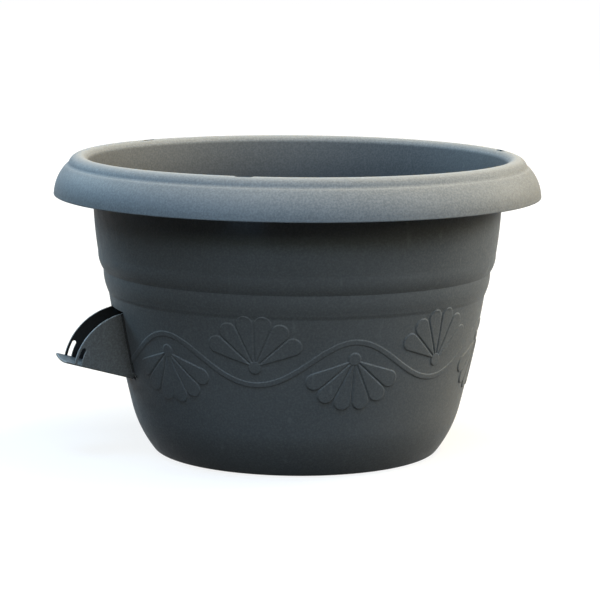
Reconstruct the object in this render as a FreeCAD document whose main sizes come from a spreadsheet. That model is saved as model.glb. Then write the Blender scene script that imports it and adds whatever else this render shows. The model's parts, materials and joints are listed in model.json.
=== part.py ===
import FreeCAD, Part
import math
import os
import re
import Sketcher

# Self-watering pot: a round moulded pot with a tilt-out filler hatch low on one side.
# Inside stands a lift-out insert: a perforated false floor on legs, a hood round the hatch and felt wicks.
# Millimetres. The origin is the middle of the base, on the floor. +Z is up and the hatch faces -X.

# Driving dimensions
SIZES = {
    # Pot: overall
    "rim_radius": 150.0,
    "pot_height": 182.9,
    "wall": 2.1,
    # Pot: base and bowl. Each inset is from the radius of the rim
    "base_inset": 63.3,
    "base_corner": 3.06,
    "base_recess": 2.0,
    "foot_width": 5.5,
    "bowl_lean": 37.8,
    "bowl_arc": 72.6,
    "bowl_inset": 47.6,
    "bowl_height": 29.0,
    # Pot: wall, raised band and collar
    "wall_arc": 780.0,
    "wall_inset": 33.0,
    "band_height": 101.0,
    "band_proud": 0.7,
    "band_arc": 60.0,
    "band_rise": 11.8,
    "crease_inset": 30.2,
    "collar_foot_arc": 18.5,
    "collar_foot_rise": 11.1,
    "collar_inset": 26.9,
    "collar_arc": 256.0,
    "neck_inset": 23.9,
    "neck_drop": 22.3,
    # Pot: rolled rim. Each drop is from the top of the pot
    "skirt_drop": 23.9,
    "rim_wall": 2.0,
    "crown_inset": 15.5,
    "crown_half_width": 5.8,
    "crown_rise": 4.3,
    "skirt_arc": 26.0,
    # Pot: hanger slots
    "hanger_count": 3,
    "hanger_slot_length": 11.0,
    "hanger_slot_width": 3.6,
    # Hinge of the hatch
    "hinge_drop": 4.0,
    "hinge_inset": 2.1,
    "barrel_radius": 2.0,
    "stub_radius": 1.3,
    "stub_length": 3.2,
    "pivot_clearance": 0.06,
    "seat_length": 3.8,
    "seat_size": 3.6,
    # Hatch
    "hatch_width": 30.6,
    "hatch_wall": 1.3,
    "hatch_gap": 0.6,
    "window_head": 9.7,
    "plate_lip": 5.2,
    "open_slope": 15.6,
    "lug_rise": 2.4,
    "lug_width": 2.8,
    "latch_slot_width": 2.6,
    "latch_slot_length": 8.7,
    "latch_strip": 1.6,
    # False floor
    "floor_height": 56.0,
    "floor_thickness": 2.0,
    "floor_skirt": 6.0,
    "fit_gap": 0.8,
    "seat_gap": 0.3,
    "leg_count": 6,
    "leg_inset": 8.7,
    "leg_radius": 9.0,
    "leg_taper": 1.5,
    "drain_hole_radius": 2.5,
    "inner_holes": 6,
    "inner_hole_ring": 20.0,
    "middle_holes": 12,
    "middle_hole_ring": 52.0,
    "outer_holes": 24,
    "outer_hole_inset": 5.4,
    # Soil guard
    "guard_wall": 1.6,
    "guard_clearance": 2.0,
    "guard_drop": 4.0,
    "guard_flange": 4.0,
    # Wicks
    "wick_count": 4,
    "wick_ring": 42.0,
    "wick_width": 18.0,
    "wick_thickness": 2.5,
    "wick_span": 16.0,
    "wick_end_height": 7.0,
}

# Sizes that follow from the driving ones, so that pieces which keep together move together
FOLLOWING = {
    # Pot: radii and heights of the section
    "base_radius": "rim_radius - base_inset",
    "bowl_radius": "rim_radius - bowl_inset",
    "wall_top_radius": "rim_radius - wall_inset",
    "crease_radius": "rim_radius - crease_inset",
    "collar_radius": "rim_radius - collar_inset",
    "neck_radius": "rim_radius - neck_inset",
    "crown_radius": "rim_radius - crown_inset",
    "crease_height": "band_height + band_rise",
    "collar_height": "crease_height + collar_foot_rise",
    "neck_height": "pot_height - neck_drop",
    "rim_edge_height": "pot_height - skirt_drop",
    # Hatch: the hinge lies under the false floor, and the window ends below the band
    "hinge_height": "floor_height - hinge_drop",
    "cheek_radius": "band_height - hinge_height - window_head",
    "plate_reach": "cheek_radius + plate_lip",
    # False floor: the legs stand near the edge of the base, and the outer holes near the wall
    "leg_ring": "base_radius - leg_inset",
    "outer_hole_ring": "bowl_radius - outer_hole_inset",
}

doc = FreeCAD.newDocument("self_watering_pot")
sheet = doc.addObject("Spreadsheet::Sheet", "Sizes")
for row, (alias, amount) in enumerate(SIZES.items(), start=1):
    sheet.set(f"A{row}", alias)
    sheet.set(f"B{row}", str(amount))
    sheet.setAlias(f"B{row}", alias)
doc.recompute()

SIZE_NAME = re.compile(r"\b(" + "|".join(SIZES) + r")\b")
FOLLOWING_NAME = re.compile(r"\b(" + "|".join(FOLLOWING) + r")\b")


def bound(text):
    """Turn a formula in size names into one that points at the sheet."""
    while FOLLOWING_NAME.search(text):
        text = FOLLOWING_NAME.sub(lambda name: f"({FOLLOWING[name.group()]})", text)
    return SIZE_NAME.sub(r"Sizes.\1", text)


def value(text):
    """Work out a formula from the sheet."""
    result = sheet.evalExpression(bound(text))
    return float(getattr(result, "Value", result))


# Sketches and features

def origin_feature(body, role):
    """Find one of a body's own planes or axes."""
    return next(item for item in body.Origin.OriginFeatures if item.Role == role)


def new_body(name):
    """Start a sub-part whose label names its file."""
    body = doc.addObject("PartDesign::Body", name)
    body.Label = name
    return body


def new_sketch(body, name, role, offset="0"):
    """Start a sketch on one of the body's planes, moved along the plane's normal by a formula."""
    sketch = body.newObject("Sketcher::SketchObject", name)
    sketch.AttachmentSupport = [(origin_feature(body, role), "")]
    sketch.MapMode = "FlatFace"
    if offset != "0":
        sketch.setExpression("AttachmentOffset.Base.z", bound(offset))
    return sketch


def pin(sketch, geo, point, x, y):
    """Hold one point of a sketch at the place that two formulas give."""
    for kind, axis, text in (("DistanceX", -2, x), ("DistanceY", -1, y)):
        amount = value(text)
        if text == "0":
            sketch.addConstraint(Sketcher.Constraint("PointOnObject", geo, point, axis))
            continue
        ends = (-1, 1, geo, point) if amount >= 0 else (geo, point, -1, 1)
        index = sketch.addConstraint(Sketcher.Constraint(kind, *ends, abs(amount)))
        sketch.setExpression(f"Constraints[{index}]", bound(text if amount >= 0 else f"-({text})"))


def hold_radius(sketch, geo, radius):
    """Give a circle or an arc the radius that a formula gives."""
    index = sketch.addConstraint(Sketcher.Constraint("Radius", geo, value(radius)))
    sketch.setExpression(f"Constraints[{index}]", bound(radius))


def add_circle(sketch, x, y, radius):
    """Draw a circle round a pinned centre."""
    middle = FreeCAD.Vector(value(x), value(y), 0)
    geo = sketch.addGeometry(Part.Circle(middle, FreeCAD.Vector(0, 0, 1), value(radius)), False)
    pin(sketch, geo, 3, x, y)
    hold_radius(sketch, geo, radius)


def add_outline(sketch, path):
    """Draw a closed outline.

    Each step is the end of a straight run, (x, y), or of an arc, (x, y, radius, turn).
    The turn is 1 for an arc that bends left along the path and -1 for one that bends right.
    """
    corners = [FreeCAD.Vector(value(step[0]), value(step[1]), 0) for step in path]
    first_ends = []
    last_ends = []
    for index, step in enumerate(path):
        start = corners[index - 1]
        end = corners[index]
        if len(step) == 2:
            geo = sketch.addGeometry(Part.LineSegment(start, end), False)
            turn = 1
        else:
            turn = step[3]
            geo = sketch.addGeometry(arc_between(start, end, value(step[2]), turn), False)
        first_ends.append((geo, 1 if turn > 0 else 2))
        last_ends.append((geo, 2 if turn > 0 else 1))
    for index, step in enumerate(path):
        following = first_ends[(index + 1) % len(path)]
        sketch.addConstraint(Sketcher.Constraint("Coincident", *last_ends[index], *following))
        pin(sketch, *last_ends[index], step[0], step[1])
        if len(step) > 2:
            hold_radius(sketch, last_ends[index][0], step[2])


def arc_between(start, end, radius, turn):
    """Make the arc under a half circle from one point to another, bending left (1) or right (-1)."""
    chord = end - start
    height = math.sqrt(max(radius ** 2 - (chord.Length / 2) ** 2, 0))
    left = FreeCAD.Vector(-chord.y, chord.x, 0).normalize()
    middle = (start + end) / 2 + left * (turn * height)
    first, last = (start, end) if turn > 0 else (end, start)
    angles = [math.atan2(point.y - middle.y, point.x - middle.x) for point in (first, last)]
    if angles[1] < angles[0]:
        angles[1] += 2 * math.pi
    return Part.ArcOfCircle(Part.Circle(middle, FreeCAD.Vector(0, 0, 1), radius), *angles)


def rectangle(low_x, low_y, high_x, high_y):
    """List the corners of an upright rectangle."""
    return [(low_x, low_y), (high_x, low_y), (high_x, high_y), (low_x, high_y)]


def add_feature(body, kind, name, sketch):
    """Add a feature to a body, and say how large the body was before."""
    before = body.Shape.Volume if body.Tip else 0.0
    feature = body.newObject("PartDesign::" + kind, name)
    feature.Profile = sketch
    return feature, before


def settle(body, feature, before, grows):
    """Work the body out again and stop if a feature did not add or cut as it should."""
    doc.recompute()
    change = body.Shape.Volume - before
    if change == 0 or (change > 0) != grows:
        raise RuntimeError(f"{feature.Name} changed the volume by {change:.3f}")
    return feature


def extrude(body, kind, name, sketch, length, symmetric=False, backwards=False, taper="0"):
    """Pad or pocket a sketch over a length that a formula gives."""
    feature, before = add_feature(body, kind, name, sketch)
    feature.setExpression("Length", bound(length))
    if symmetric:
        feature.SideType = "Symmetric"
    feature.Reversed = backwards
    if taper != "0":
        feature.setExpression("TaperAngle", bound(taper))
    return settle(body, feature, before, kind == "Pad")


def revolve(body, name, sketch):
    """Turn a profile once round the upright axis."""
    feature, before = add_feature(body, "Revolution", name, sketch)
    feature.ReferenceAxis = (sketch, ["V_Axis"])
    feature.Angle = 360
    return settle(body, feature, before, True)


def repeat_round(body, name, originals, count):
    """Repeat features evenly round the upright axis."""
    before = body.Shape.Volume
    pattern = body.newObject("PartDesign::PolarPattern", name)
    pattern.Originals = originals
    pattern.Axis = (origin_feature(body, "Z_Axis"), [""])
    pattern.Angle = 360
    pattern.setExpression("Occurrences", bound(count))
    body.Tip = pattern
    doc.recompute()
    if abs(body.Shape.Volume - before) < 1e-6:
        raise RuntimeError(f"{name} repeated nothing")


def mirror(body, name, originals, role):
    """Repeat features on the other side of one of the body's planes."""
    feature = body.newObject("PartDesign::Mirrored", name)
    feature.Originals = originals
    feature.MirrorPlane = (origin_feature(body, role), [""])
    body.Tip = feature
    doc.recompute()


def tilt(body, axis, angle):
    """Turn a finished sub-part about an axis through its own origin."""
    body.Placement = FreeCAD.Placement(FreeCAD.Vector(), FreeCAD.Rotation(axis, value(angle)))
    body.setExpression("Placement.Rotation.Angle", bound(angle))


def turn_sketch(sketch, angle):
    """Turn a sketch in its own plane."""
    if angle == "0":
        return
    place = sketch.AttachmentOffset
    place.Rotation = FreeCAD.Rotation(FreeCAD.Vector(0, 0, 1), value(angle))
    sketch.AttachmentOffset = place
    sketch.setExpression("AttachmentOffset.Rotation.Angle", bound(angle))


def fan_point(radius, turn):
    """Place a point by its distance from the hinge axis and its turn away from the plate."""
    return f"{radius} * sin({turn})", f"{radius} * cos({turn})"


# Places that several pieces share

def wall_radius(height):
    """Outer radius of the pot's wall at a height between the bowl and the band."""
    share = f"((({height}) - bowl_height) / (band_height - bowl_height))"
    chord = f"bowl_radius + (wall_top_radius - bowl_radius) * {share}"
    bulge = f"(band_height - bowl_height) ^ 2 / (2 * wall_arc) * {share} * (1 - {share})"
    return f"({chord} + {bulge})"


def inner_reach(height, half_width, gap):
    """Distance from the pot's axis to the inside of the wall, off to one side, less a gap."""
    return f"(sqrt(({wall_radius(height)} - wall) ^ 2 - ({half_width}) ^ 2) - {gap})"


HINGE_REACH = f"({wall_radius('hinge_height')} - hinge_inset)"
WALL_SPREAD = f"({wall_radius('hinge_height + cheek_radius')} - {wall_radius('hinge_height')})"
WALL_LEAN = f"atan({WALL_SPREAD} / cheek_radius)"
WINDOW_HALF = "(hatch_width / 2 + hatch_gap)"
WINDOW_SILL = "(hinge_height - barrel_radius - hatch_gap)"
WINDOW_TOP = "(hinge_height + cheek_radius)"
SEAT_END = f"({WINDOW_HALF} + seat_length)"
FLOOR_INSIDE = "(base_recess + wall)"
INSERT_TOP = "(floor_height + floor_thickness)"
GUARD_INNER = "(cheek_radius + lug_rise + guard_clearance)"
GUARD_OUTER = f"({GUARD_INNER} + guard_wall)"
GUARD_HALF = f"({SEAT_END} + hatch_gap)"
GUARD_SIDE = f"({GUARD_HALF} + guard_wall)"
GUARD_BOTTOM = f"({INSERT_TOP} - guard_drop)"
GUARD_BACK = f"({HINGE_REACH} - sqrt({GUARD_OUTER} ^ 2 - ({GUARD_BOTTOM} - hinge_height) ^ 2))"


def make_pot_shell():
    """Turn the pot's section, then cut the hanger slots, the hatch window and its hinge seats."""
    body = new_body("pot_shell")
    crown_edge_height = "(pot_height - crown_rise)"
    crown_arc = "((crown_half_width ^ 2 + crown_rise ^ 2) / (2 * crown_rise))"
    bowl_foot = ("base_radius + base_corner * cos(bowl_lean)", "base_corner * (1 - sin(bowl_lean))")
    bowl_foot_inside = (f"{bowl_foot[0]} - wall * cos(bowl_lean)", f"{bowl_foot[1]} + wall * sin(bowl_lean)")
    shoulder_height = "(neck_height + 3 * wall)"
    bead_inside = "(crown_half_width - rim_wall)"
    section = new_sketch(body, "pot_section", "XZ_Plane")
    add_outline(section, [
        # Underside and outside, from the middle of the base up to the edge of the rim
        ("0", "base_recess"),
        ("base_radius - foot_width - base_recess", "base_recess"),
        ("base_radius - foot_width", "0"),
        ("base_radius", "0"),
        (*bowl_foot, "base_corner", 1),
        ("bowl_radius", "bowl_height", "bowl_arc", 1),
        ("wall_top_radius", "band_height", "wall_arc", 1),
        ("wall_top_radius + band_proud", "band_height"),
        ("crease_radius", "crease_height", "band_arc", 1),
        ("collar_radius", "collar_height", "collar_foot_arc", 1),
        ("neck_radius", "neck_height", "collar_arc", 1),
        ("neck_radius + wall / 4", shoulder_height),
        (f"crown_radius - {bead_inside}", crown_edge_height),
        (f"crown_radius + {bead_inside}", crown_edge_height, f"({crown_arc} - rim_wall)", -1),
        ("crown_radius + crown_half_width - rim_wall / 2", f"{crown_edge_height} - rim_wall"),
        ("rim_radius - rim_wall", "rim_edge_height", "(skirt_arc - rim_wall)", -1),
        # Top of the rim, then down the inside
        ("rim_radius", "rim_edge_height"),
        ("crown_radius + crown_half_width", crown_edge_height, "skirt_arc", 1),
        ("crown_radius - crown_half_width", crown_edge_height, crown_arc, 1),
        ("neck_radius + wall / 4 - wall", shoulder_height),
        ("neck_radius - wall", "neck_height"),
        ("collar_radius - wall", "collar_height", "(collar_arc - wall)", -1),
        ("crease_radius - wall", "crease_height", "(collar_foot_arc - wall)", -1),
        ("wall_top_radius - wall", "band_height"),
        ("bowl_radius - wall", "bowl_height", "(wall_arc - wall)", -1),
        (*bowl_foot_inside, "(bowl_arc - wall)", -1),
        ("base_radius - wall / 2", "wall"),
        ("base_radius - foot_width + wall / 2", "wall"),
        ("base_radius - foot_width - base_recess + wall / 2", FLOOR_INSIDE),
        ("0", FLOOR_INSIDE),
    ])
    revolve(body, "pot_wall", section)

    # Slots along the crown of the rim, one of them straight opposite the hatch
    half_length = "hanger_slot_length / 2"
    half_width = "hanger_slot_width / 2"
    straight = f"({half_length} - {half_width})"
    slot = new_sketch(body, "hanger_slot_outline", "XY_Plane", "pot_height")
    add_outline(slot, [
        (f"crown_radius + {half_width}", straight),
        ("crown_radius", half_length, half_width, 1),
        (f"crown_radius - {half_width}", straight, half_width, 1),
        (f"crown_radius - {half_width}", f"-{straight}"),
        ("crown_radius", f"-{half_length}", half_width, 1),
        (f"crown_radius + {half_width}", f"-{straight}", half_width, 1),
    ])
    slot_cut = extrude(body, "Pocket", "hanger_slot", slot, "crown_rise + rim_wall")
    repeat_round(body, "hanger_slots", [slot_cut], "hanger_count")

    # Blocks for the hinge seats inside the wall, which the window then parts
    blocks = new_sketch(body, "hinge_block_outline", "XZ_Plane")
    add_outline(blocks, rectangle(
        f"-({HINGE_REACH} - hatch_gap / 2)", "hinge_height - seat_size",
        f"-({HINGE_REACH} - seat_size)", "hinge_height + seat_size"))
    extrude(body, "Pad", "hinge_blocks", blocks, f"2 * {SEAT_END}", symmetric=True)

    window = new_sketch(body, "window_outline", "YZ_Plane")
    add_outline(window, rectangle(f"-{WINDOW_HALF}", WINDOW_SILL, WINDOW_HALF, WINDOW_TOP))
    extrude(body, "Pocket", "hatch_window", window, "rim_radius")

    # The bores break through the outside of the wall, narrower than the stubs, which snap in
    bores = new_sketch(body, "hinge_bore_outline", "XZ_Plane")
    add_circle(bores, f"-{HINGE_REACH}", "hinge_height", "stub_radius + pivot_clearance")
    bore_reach = "(hatch_width / 2 + stub_length + seat_gap)"
    extrude(body, "Pocket", "hinge_bores", bores, f"2 * {bore_reach}", symmetric=True)
    return body


def make_filler_hatch():
    """Make the hatch round its hinge axis, with the plate upright along +Z, and tilt it open."""
    body = new_body("filler_hatch")
    half_width = "(hatch_width / 2)"
    plate_arc = f"({wall_radius('hinge_height + cheek_radius / 2')} + seat_gap)"
    plate_sag = f"({plate_arc} - sqrt({plate_arc} ^ 2 - {half_width} ^ 2))"
    plate_side = f"(hinge_inset * cos({WALL_LEAN}) + seat_gap - {plate_sag})"
    plate_face = f"({plate_side} + hatch_wall)"

    barrel = new_sketch(body, "barrel_outline", "XZ_Plane")
    add_circle(barrel, "0", "0", "barrel_radius")
    extrude(body, "Pad", "hinge_barrel", barrel, "hatch_width", symmetric=True)
    stubs = new_sketch(body, "stub_outline", "XZ_Plane")
    add_circle(stubs, "0", "0", "stub_radius")
    extrude(body, "Pad", "hinge_stubs", stubs, "hatch_width + 2 * stub_length", symmetric=True)

    # Web from the barrel to the foot of the plate, clear of the sill when the hatch is open
    web_top = "(2 * barrel_radius + seat_gap)"
    web = new_sketch(body, "web_outline", "XZ_Plane")
    add_outline(web, [
        ("0", "0"),
        ("0", "0.9 * barrel_radius"),
        (f"-{plate_side}", web_top),
        (f"-{plate_face}", web_top),
        (f"-{plate_face}", "barrel_radius"),
        ("-0.8 * barrel_radius", "0.6 * barrel_radius"),
    ])
    extrude(body, "Pad", "plate_web", web, "hatch_width", symmetric=True)

    # Front plate, bowed like the pot's wall and proud of it when the hatch is shut
    plate = new_sketch(body, "plate_outline", "XY_Plane", "barrel_radius")
    add_outline(plate, [
        (f"-{plate_side}", f"-{half_width}"),
        (f"-{plate_side}", half_width, plate_arc, -1),
        (f"-{plate_face}", half_width),
        (f"-{plate_face}", f"-{half_width}", f"({plate_arc} + hatch_wall)", 1),
    ])
    extrude(body, "Pad", "front_plate", plate, "plate_reach - barrel_radius")

    # Fan-shaped cheeks. A lug at the inner end of each stops the hatch against the inside of the wall
    cheek_edge = f"({plate_side} + hatch_wall / 2)"
    lug_rise_height = "(cheek_radius + lug_rise / 2)"
    lug_run = f"({inner_reach('hinge_height + cheek_radius', half_width, 'seat_gap')} - {HINGE_REACH})"
    lug_start = f"(90 deg - atan({lug_run} / {lug_rise_height}) - open_slope * 1 deg)"
    lug_end = f"({lug_start} + lug_width / cheek_radius * 1 rad)"
    lug_tip = "(cheek_radius + lug_rise)"
    cheek = new_sketch(body, "cheek_outline", "XZ_Plane", f"{half_width} - hatch_wall")
    add_outline(cheek, [
        ("0", "0"),
        (f"-{cheek_edge}", "barrel_radius"),
        (f"-{cheek_edge}", f"sqrt(cheek_radius ^ 2 - {cheek_edge} ^ 2)"),
        (*fan_point("cheek_radius", lug_start), "cheek_radius", -1),
        fan_point(lug_tip, lug_start),
        fan_point(lug_tip, lug_end),
    ])
    # Round-ended latch slot along the arc, from the inside of the plate
    slot_outer = "(cheek_radius - latch_strip)"
    slot_middle = f"({slot_outer} - latch_slot_width / 2)"
    slot_inner = f"({slot_outer} - latch_slot_width)"
    cap = "latch_slot_width / 2"
    slot_turn = f"((latch_slot_length - {cap}) / {slot_middle} * 1 rad)"
    cap_middle = fan_point(slot_middle, slot_turn)
    cap_tip = (f"{cap_middle[0]} + {cap} * cos({slot_turn})", f"{cap_middle[1]} - {cap} * sin({slot_turn})")
    add_outline(cheek, [
        (f"-{plate_side}", f"sqrt({slot_outer} ^ 2 - {plate_side} ^ 2)"),
        (*fan_point(slot_outer, slot_turn), slot_outer, -1),
        (*cap_tip, cap, -1),
        (*fan_point(slot_inner, slot_turn), cap, -1),
        (f"-{plate_side}", f"sqrt({slot_inner} ^ 2 - {plate_side} ^ 2)", slot_inner, 1),
    ])
    near_cheek = extrude(body, "Pad", "cheek", cheek, "hatch_wall")
    mirror(body, "far_cheek", [near_cheek], "XZ_Plane")

    tilt(body, FreeCAD.Vector(0, -1, 0), "90 - open_slope")
    body.setExpression("Placement.Base.x", bound(f"-{HINGE_REACH}"))
    body.setExpression("Placement.Base.z", bound("hinge_height"))
    return body


def make_reservoir_separator():
    """Make the perforated false floor, which stands on hollow legs and has a notch for the filling shaft."""
    body = new_body("reservoir_separator")
    skirt_bottom = "(floor_height - floor_skirt)"
    edge_low = inner_reach(skirt_bottom, "0", "fit_gap")
    section = new_sketch(body, "floor_section", "XZ_Plane")
    add_outline(section, [
        ("0", "floor_height"),
        (f"{edge_low} - floor_thickness", "floor_height"),
        (f"{edge_low} - floor_thickness", skirt_bottom),
        (edge_low, skirt_bottom),
        (inner_reach(INSERT_TOP, "0", "fit_gap"), INSERT_TOP),
        ("0", INSERT_TOP),
    ])
    revolve(body, "floor_plate", section)

    # Hollow legs, open below, spread evenly on both sides of the shaft
    leg_length = f"(floor_height - {FLOOR_INSIDE} - seat_gap)"
    leg_place = ("leg_ring * cos(180 / leg_count)", "leg_ring * sin(180 / leg_count)")
    leg = new_sketch(body, "leg_outline", "XY_Plane", "floor_height")
    add_circle(leg, *leg_place, "leg_radius")
    leg_pad = extrude(body, "Pad", "leg", leg, leg_length, backwards=True, taper="-leg_taper")
    bore = new_sketch(body, "leg_bore_outline", "XY_Plane", f"floor_height - {leg_length}")
    add_circle(bore, *leg_place, f"leg_radius - floor_thickness - {leg_length} * tan(leg_taper)")
    leg_bore = extrude(body, "Pocket", "leg_bore", bore, f"{leg_length} - floor_thickness", backwards=True)
    repeat_round(body, "legs", [leg_pad, leg_bore], "leg_count")

    notch = new_sketch(body, "notch_outline", "XY_Plane", INSERT_TOP)
    notch_half = f"({GUARD_SIDE} + seat_gap)"
    add_outline(notch, rectangle(
        "-rim_radius", f"-{notch_half}", f"-({GUARD_BACK} - seat_gap)", notch_half))
    extrude(body, "Pocket", "shaft_notch", notch, "floor_skirt + 2 * floor_thickness")

    # A pair of slots for each wick, and rings of drain holes
    slots = new_sketch(body, "wick_slot_outline", "XY_Plane", INSERT_TOP)
    turn_sketch(slots, "180 / wick_count")
    slot_half = "(wick_thickness / 2 + seat_gap)"
    slot_side = "(wick_width / 2 + seat_gap)"
    for side in ("-", "+"):
        middle = f"(wick_ring {side} wick_span / 2)"
        add_outline(slots, rectangle(
            f"{middle} - {slot_half}", f"-{slot_side}", f"{middle} + {slot_half}", slot_side))
    slot_pair = extrude(body, "Pocket", "wick_slot_pair", slots, "2 * floor_thickness")
    repeat_round(body, "wick_slots", [slot_pair], "wick_count")
    add_hole_ring(body, "inner", "0")
    add_hole_ring(body, "middle", "0")
    add_hole_ring(body, "outer", "180 / outer_holes")
    return body


def add_hole_ring(body, place, first_turn):
    """Drill one ring of drain holes through the false floor."""
    hole = new_sketch(body, f"{place}_hole_outline", "XY_Plane", INSERT_TOP)
    turn_sketch(hole, first_turn)
    add_circle(hole, f"{place}_hole_ring", "0", "drain_hole_radius")
    first = extrude(body, "Pocket", f"{place}_hole", hole, "2 * floor_thickness")
    repeat_round(body, f"{place}_hole_row", [first], f"{place}_holes")


def make_soil_guard():
    """Make the hood round the hatch's swing, which drops into the notch and hangs there by its flange."""
    body = new_body("soil_guard")
    front_low = inner_reach(GUARD_BOTTOM, GUARD_SIDE, "fit_gap")
    front_high = inner_reach(f"hinge_height + {GUARD_OUTER}", GUARD_SIDE, "fit_gap")
    roof_front = f"(hinge_height + sqrt({GUARD_OUTER} ^ 2 - ({front_high} - {HINGE_REACH}) ^ 2))"
    crown = f"(hinge_height + {GUARD_OUTER})"
    hood = new_sketch(body, "hood_outline", "XZ_Plane")
    add_outline(hood, [
        (f"-{GUARD_BACK}", GUARD_BOTTOM),
        (f"-{HINGE_REACH}", crown, GUARD_OUTER, 1),
        (f"-{front_high}", roof_front, GUARD_OUTER, 1),
        (f"-{front_low}", GUARD_BOTTOM),
    ])
    extrude(body, "Pad", "hood", hood, f"2 * {GUARD_SIDE}", symmetric=True)

    flange_side = f"({GUARD_SIDE} + guard_flange)"
    flange = new_sketch(body, "flange_outline", "XY_Plane", INSERT_TOP)
    add_outline(flange, rectangle(
        f"-{inner_reach(INSERT_TOP, flange_side, 'fit_gap')}", f"-{flange_side}",
        f"-({GUARD_BACK} - guard_flange)", flange_side))
    extrude(body, "Pad", "flange", flange, "guard_wall")

    # Hollow, open below and towards the wall
    inner_bottom = f"({GUARD_BOTTOM} - guard_wall)"
    inner_back = f"({HINGE_REACH} - sqrt({GUARD_INNER} ^ 2 - ({inner_bottom} - hinge_height) ^ 2))"
    inner_crown = f"(hinge_height + {GUARD_INNER})"
    mouth = f"({HINGE_REACH} + {GUARD_INNER} / 2)"
    mouth_top = f"(hinge_height + sqrt(0.75) * {GUARD_INNER})"
    hollow = new_sketch(body, "hollow_outline", "XZ_Plane")
    add_outline(hollow, [
        (f"-{inner_back}", inner_bottom),
        (f"-{HINGE_REACH}", inner_crown, GUARD_INNER, 1),
        (f"-{mouth}", mouth_top, GUARD_INNER, 1),
        (f"-{mouth}", inner_bottom),
    ])
    extrude(body, "Pocket", "hollow", hollow, f"2 * {GUARD_HALF}", symmetric=True)
    return body


def make_wick(number):
    """Make one felt strip, looped over the bar between its two slots with both tails in the water."""
    body = new_body(f"wick_{number}")
    loop = f"({INSERT_TOP} + seat_gap)"
    outer = "((wick_span + wick_thickness) / 2)"
    inner = "((wick_span - wick_thickness) / 2)"
    strip = new_sketch(body, f"wick_{number}_outline", "XZ_Plane")
    add_outline(strip, [
        (f"wick_ring + {outer}", "wick_end_height"),
        (f"wick_ring + {outer}", loop),
        ("wick_ring", f"{loop} + {outer}", outer, 1),
        (f"wick_ring - {outer}", loop, outer, 1),
        (f"wick_ring - {outer}", "wick_end_height"),
        (f"wick_ring - {inner}", "wick_end_height"),
        (f"wick_ring - {inner}", loop),
        ("wick_ring", f"{loop} + {inner}", inner, -1),
        (f"wick_ring + {inner}", loop, inner, -1),
        (f"wick_ring + {inner}", "wick_end_height"),
    ])
    extrude(body, "Pad", f"wick_{number}_strip", strip, "wick_width", symmetric=True)
    tilt(body, FreeCAD.Vector(0, 0, 1), f"(2 * {number} - 1) * 180 / wick_count")
    return body


parts = [make_pot_shell(), make_filler_hatch(), make_reservoir_separator(), make_soil_guard()]
for number in range(1, SIZES["wick_count"] + 1):
    parts.append(make_wick(number))
doc.recompute()

# Nothing is written unless every object worked out and every sub-part is one sound solid
for item in doc.Objects:
    if "Invalid" in item.State or "Error" in item.State:
        raise RuntimeError(f"{item.Name} is {item.State}")
for part in parts:
    shape = part.Shape
    if shape.isNull() or not shape.isValid() or len(shape.Solids) != 1:
        raise RuntimeError(f"{part.Label} is not one sound solid")

os.makedirs("parts", exist_ok=True)
for part in parts:
    part.Shape.exportStep(f"parts/{part.Label}.step")
    box = part.Shape.BoundBox
    print(part.Label, f"{part.Shape.Volume / 1000:.1f} cm3", f"z {box.ZMin:.2f} to {box.ZMax:.2f}")
travel = value("90 - open_slope") - value(WALL_LEAN)
print(f"hinge axis x {-value(HINGE_REACH):.4f} z {value('hinge_height'):.4f}, travel {travel:.3f} degrees")
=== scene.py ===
import bmesh
import bpy
import json
import math
import numpy as np
from mathutils import Matrix, Vector


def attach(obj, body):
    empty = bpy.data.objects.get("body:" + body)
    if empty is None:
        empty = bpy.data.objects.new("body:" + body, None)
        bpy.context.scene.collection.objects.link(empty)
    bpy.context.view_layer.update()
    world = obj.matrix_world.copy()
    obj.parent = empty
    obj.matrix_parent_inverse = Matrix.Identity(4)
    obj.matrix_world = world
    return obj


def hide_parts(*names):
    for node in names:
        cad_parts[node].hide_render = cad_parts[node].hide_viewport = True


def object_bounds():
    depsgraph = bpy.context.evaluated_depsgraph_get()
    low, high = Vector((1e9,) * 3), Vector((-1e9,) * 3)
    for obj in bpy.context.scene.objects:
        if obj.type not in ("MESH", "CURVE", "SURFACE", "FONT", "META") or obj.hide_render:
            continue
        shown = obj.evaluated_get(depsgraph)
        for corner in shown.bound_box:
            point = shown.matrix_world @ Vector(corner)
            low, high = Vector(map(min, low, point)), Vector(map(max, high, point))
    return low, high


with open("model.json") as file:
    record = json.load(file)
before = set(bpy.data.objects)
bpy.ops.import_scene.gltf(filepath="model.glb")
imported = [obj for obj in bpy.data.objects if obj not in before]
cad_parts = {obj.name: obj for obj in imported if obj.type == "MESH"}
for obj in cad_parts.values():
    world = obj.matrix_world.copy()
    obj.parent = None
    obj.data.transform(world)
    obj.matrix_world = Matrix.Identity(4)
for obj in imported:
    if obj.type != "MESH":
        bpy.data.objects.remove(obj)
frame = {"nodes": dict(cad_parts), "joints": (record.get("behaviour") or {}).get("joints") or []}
cad_low, cad_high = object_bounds()

# Looks of the self-watering pot. Shapes are worked out in millimetres and built in metres.
MM = 0.001

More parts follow.
